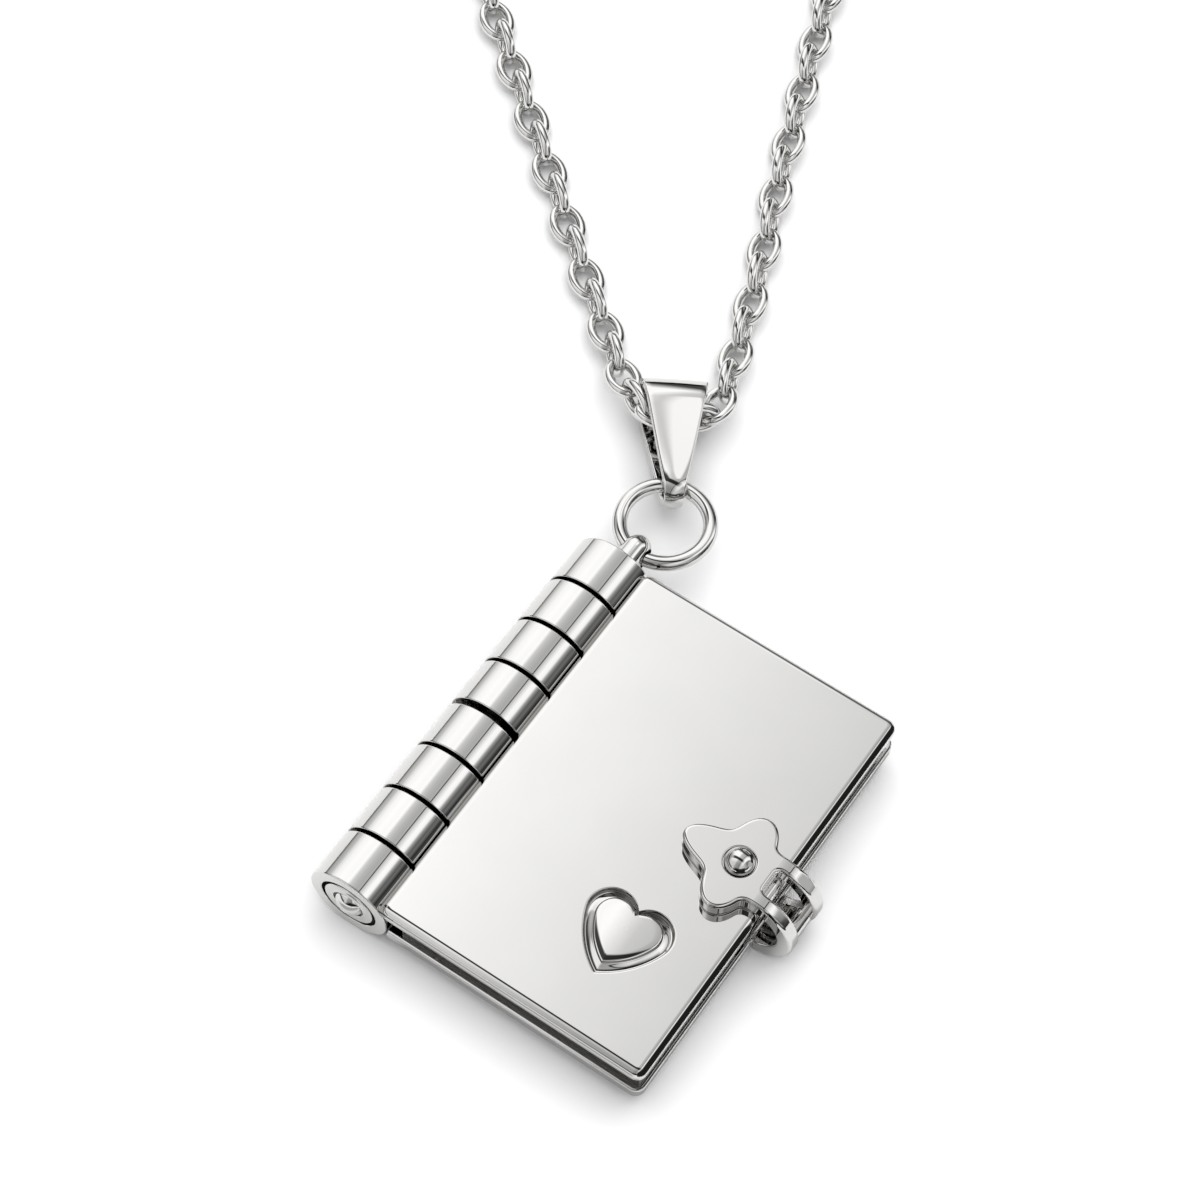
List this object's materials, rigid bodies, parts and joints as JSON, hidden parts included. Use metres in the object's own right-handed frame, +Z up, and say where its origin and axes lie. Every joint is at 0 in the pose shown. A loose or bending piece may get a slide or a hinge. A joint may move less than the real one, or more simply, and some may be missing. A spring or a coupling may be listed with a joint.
{
  "type": "book locket",
  "caption": "Book-shaped locket that opens on a barrel spine, with a stamped heart and a flower-shaped snap flap, on a bail and a link chain.",
  "frame": {"origin": "middle of the whole necklace on the surface that it lies on", "axes": "+Z up, +Y from the locket to the far end of the chain, X across the chain's loop; the book is turned 31.7 degrees clockwise, so its spine runs from its foot toward +X and +Y"},
  "size_m": [0.0872, 0.2388, 0.0059],
  "materials": {
    "polished": "polished",
    "chain": "polished"
  },
  "bodies": {
    "back": {"back_cover": "polished", "spine_pin": "polished", "jump_ring": "polished", "bail": "polished", "chain": "chain", "chain_clasp": "chain"},
    "front": {"front_cover": "polished"},
    "clasp": {"clasp_flap": "polished", "snap_ball": "polished"}
  },
  "joints": [
    {"name": "cover_hinge", "type": "hinge", "parent": "back", "child": "front", "pos_m": [-0.00886, -0.09947, 0.00245], "axis": [-0.5255, -0.8508, 0], "range_deg": [0, 160]},
    {"name": "clasp_hinge", "type": "hinge", "parent": "front", "child": "clasp", "pos_m": [0.00808, -0.10972, 0.0017], "axis": [0.5255, 0.8508, 0], "range_deg": [0, 100]}
  ]
}
